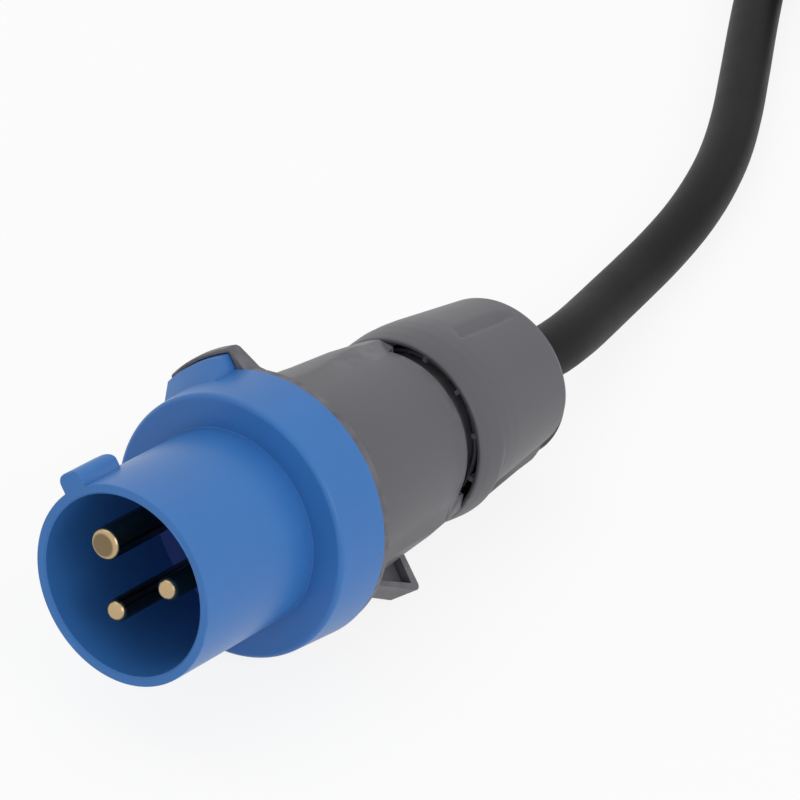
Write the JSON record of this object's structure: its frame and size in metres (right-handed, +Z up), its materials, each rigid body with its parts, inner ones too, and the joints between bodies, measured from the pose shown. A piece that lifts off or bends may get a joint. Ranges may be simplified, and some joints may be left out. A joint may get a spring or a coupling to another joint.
{
  "type": "industrial pin and sleeve plug",
  "caption": "Blue and grey industrial pin and sleeve plug with brass contact pins, a screwed cable gland and a coiled rubber supply lead.",
  "frame": {"origin": "centre of the plug's own footprint on the floor, without its lead", "axes": "+X from the pins towards the cable, +Z up, the plug lying at rest on its flange, hook and gland nut"},
  "size_m": [0.5276, 0.1632, 0.061],
  "materials": {
    "blue_polyamide": "moulded, satin",
    "carrier_blue": "moulded, satin",
    "grey_polyamide": "moulded, fine grain",
    "pin_brass": "polished, turned",
    "zinc_steel": "zinc plated",
    "tinned_copper": "tinned, crimped",
    "black_rubber": "matt sheath",
    "seal_rubber": "matt",
    "clamp_nylon": "moulded",
    "strap_fabric": "woven hook and loop",
    "core_green_yellow": "smooth insulation, green with a yellow stripe",
    "core_brown": "smooth insulation",
    "core_blue": "smooth insulation"
  },
  "bodies": {
    "plug": {"front_shroud": "blue_polyamide", "contact_carrier": "carrier_blue", "pin_retainer": "carrier_blue", "retainer_screw": "zinc_steel", "pin_earth": "pin_brass", "pin_line": "pin_brass", "pin_neutral": "pin_brass", "terminal_screw_earth": "zinc_steel", "terminal_screw_line": "zinc_steel", "terminal_screw_neutral": "zinc_steel", "ferrule_earth": "tinned_copper", "ferrule_line": "tinned_copper", "ferrule_neutral": "tinned_copper", "core_green_yellow": "core_green_yellow", "core_brown": "core_brown", "core_blue": "core_blue", "front_seal": "seal_rubber", "housing": "grey_polyamide", "clamp_cage": "clamp_nylon", "cable_seal": "seal_rubber", "cable_entry": "black_rubber", "cable_lead": "black_rubber", "cable_coil": "black_rubber", "coil_strap_front": "strap_fabric", "coil_strap_back": "strap_fabric", "cable_end": "black_rubber", "end_core_green_yellow": "core_green_yellow", "end_core_brown": "core_brown", "end_core_blue": "core_blue", "end_ferrules": "tinned_copper"},
    "thrust_ring": {"thrust_ring": "clamp_nylon"},
    "gland_nut": {"gland_nut": "grey_polyamide"}
  },
  "joints": [
    {"name": "nut_travel", "type": "slide", "parent": "plug", "child": "thrust_ring", "axis": [0.9924, 0, -0.1231], "range_m": [0, 0.00601]},
    {"name": "nut_turn", "type": "hinge", "parent": "thrust_ring", "child": "gland_nut", "pos_m": [0.03191, 0, 0.02362], "axis": [0.9924, 0, -0.1231], "range_deg": [0, 720]}
  ],
  "couplings": [
    {"joint": "nut_travel", "follows": "nut_turn", "m_per_rad": 0.00047746}
  ]
}
